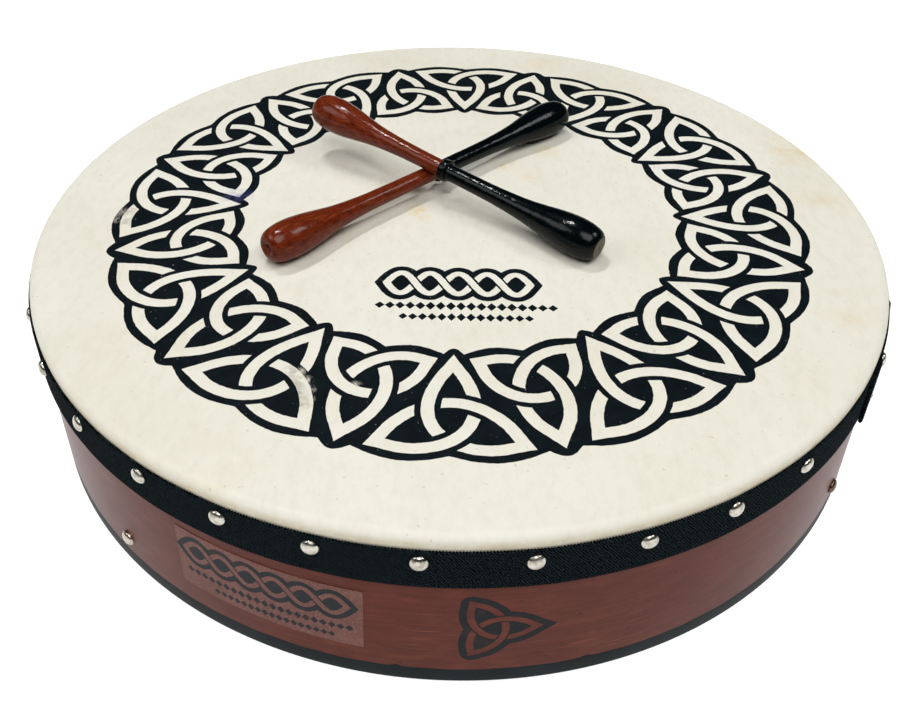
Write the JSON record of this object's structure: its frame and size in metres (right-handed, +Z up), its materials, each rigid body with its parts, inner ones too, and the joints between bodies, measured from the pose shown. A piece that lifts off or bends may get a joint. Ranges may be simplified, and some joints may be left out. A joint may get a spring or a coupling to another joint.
{
  "type": "bodhran",
  "caption": "Irish frame drum: a bent wooden hoop with a tacked goatskin head bound in woven tape, crossed hand bars inside, a knot print, and two turned tippers crossed on the head.",
  "frame": {"origin": "centre of the open rim's lower face, which is the centre of the underside of the object's box", "axes": "+Z up, from the open rim towards the playing face; -Y is the front, where the printed knot and the label are; +X to the right of the front"},
  "size_m": [0.464, 0.4641, 0.132],
  "materials": {
    "hoop_wood": "red-brown stained satin lacquer outside with a black painted band at the open rim, bare wood inside",
    "goatskin": "stretched dry rawhide, matt, with a black printed knot border",
    "webbing": "black woven tape",
    "nickel": "bright nickel plate, slightly worn",
    "pin_steel": "dull steel",
    "bar_wood": "bare pale hardwood, sanded",
    "screw_steel": "dull zinc plate",
    "label_film": "clear film with a grey print",
    "tipper_lacquer": "turned wood, one half gloss red-brown lacquer and the other gloss black"
  },
  "bodies": {
    "drum": {"shell_hoop": "hoop_wood", "goatskin_head": "goatskin", "webbing_tape": "webbing", "head_tacks": "nickel", "overlap_pins": "pin_steel", "lower_crossbar": "bar_wood", "upper_crossbar": "bar_wood", "lap_screw": "screw_steel", "crossbar_nails": "nickel", "side_label": "label_film"},
    "lower_stick": {"lower_tipper": "tipper_lacquer"},
    "upper_stick": {"upper_tipper": "tipper_lacquer"}
  },
  "joints": [
    {"name": "lower_tipper_lift", "type": "slide", "parent": "drum", "child": "lower_stick", "axis": [0, 0, 1], "range_m": [0, 0.06]},
    {"name": "upper_tipper_lift", "type": "slide", "parent": "lower_stick", "child": "upper_stick", "axis": [0, 0, 1], "range_m": [0, 0.06]}
  ]
}
